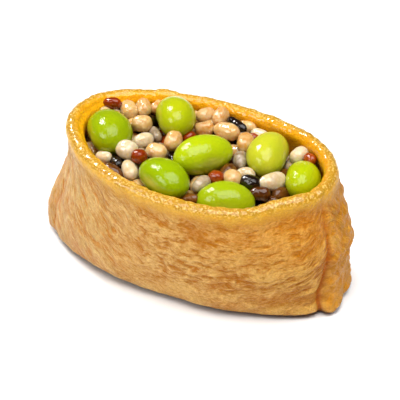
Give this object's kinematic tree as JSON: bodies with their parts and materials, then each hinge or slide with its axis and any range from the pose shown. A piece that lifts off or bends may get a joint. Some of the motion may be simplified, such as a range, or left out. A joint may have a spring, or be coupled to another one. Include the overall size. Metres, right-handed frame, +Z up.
{
  "type": "inari sushi",
  "caption": "Seasoned fried tofu pouch standing open on its flat base, filled to the rolled rim with mixed-grain rice and topped with shelled green soybeans",
  "frame": {"origin": "middle of the bounding box at the table, under the pouch", "axes": "+Z is up out of the open mouth, +X runs along the length to the end with the deep seam creases, -Y is the front"},
  "size_m": [0.0735, 0.0395, 0.0343],
  "materials": {
    "fried_tofu": "moist, softly wrinkled skin",
    "mixed_grain_rice": "moist boiled grains",
    "green_bean": "glossy boiled bean"
  },
  "bodies": {
    "root": {"tofu_pouch": "fried_tofu", "rice_filling": "mixed_grain_rice", "green_soybean_1": "green_bean", "green_soybean_2": "green_bean", "green_soybean_3": "green_bean", "green_soybean_4": "green_bean", "green_soybean_5": "green_bean", "green_soybean_6": "green_bean", "green_soybean_7": "green_bean"}
  },
  "joints": []
}
